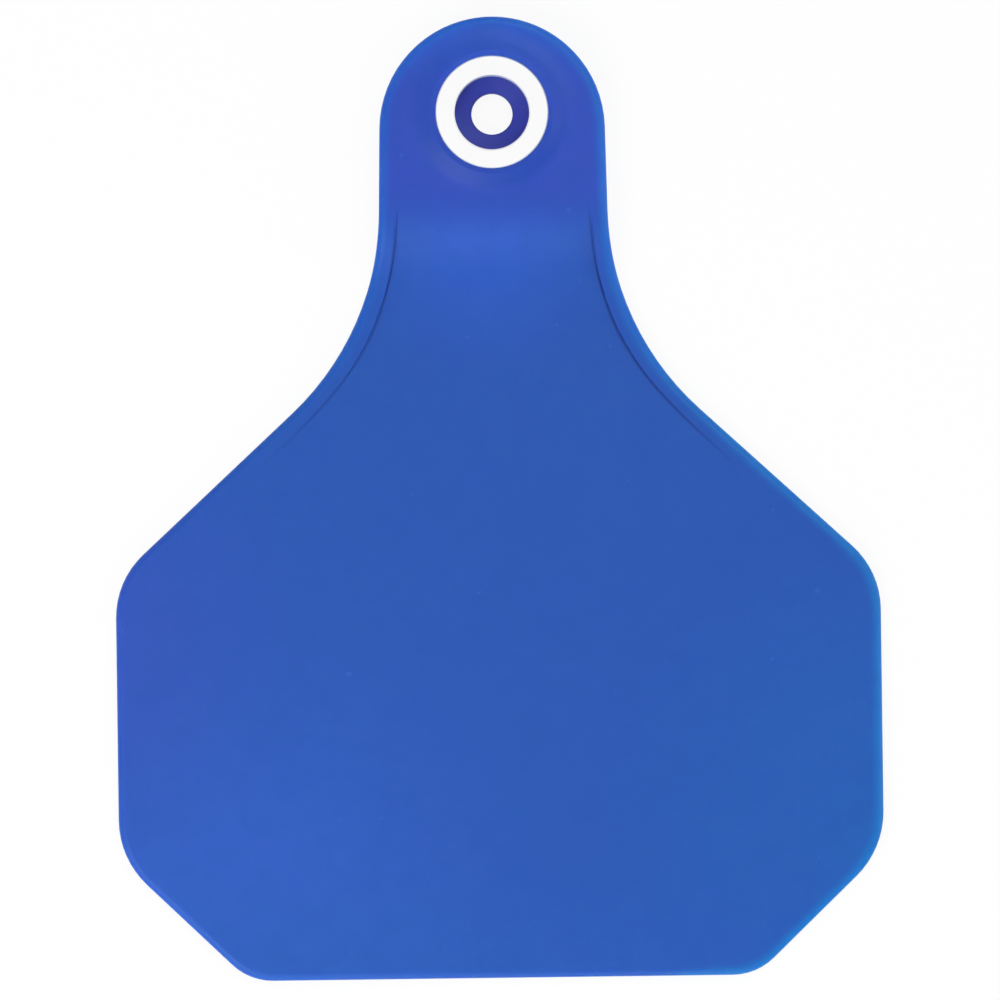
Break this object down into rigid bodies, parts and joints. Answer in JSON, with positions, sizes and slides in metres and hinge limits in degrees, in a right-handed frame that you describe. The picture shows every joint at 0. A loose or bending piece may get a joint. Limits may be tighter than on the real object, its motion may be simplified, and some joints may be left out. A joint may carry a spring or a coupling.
{
  "type": "livestock ear tag",
  "caption": "Flexible livestock ear tag: a flat flag with cut corners, a narrow rimmed neck and a round head whose boss holds a hard ring round the stud hole.",
  "frame": {"origin": "under the middle of the outline, on the flat back that the tag lies on", "axes": "+X to the right across the flag, +Y up the neck to the top of the head, +Z out of the front face"},
  "size_m": [0.0762, 0.0956, 0.0038],
  "materials": {
    "blue_soft_plastic": "satin",
    "white_hard_plastic": "satin"
  },
  "bodies": {
    "root": {"tag_panel": "blue_soft_plastic", "locking_ring": "white_hard_plastic"}
  },
  "joints": []
}
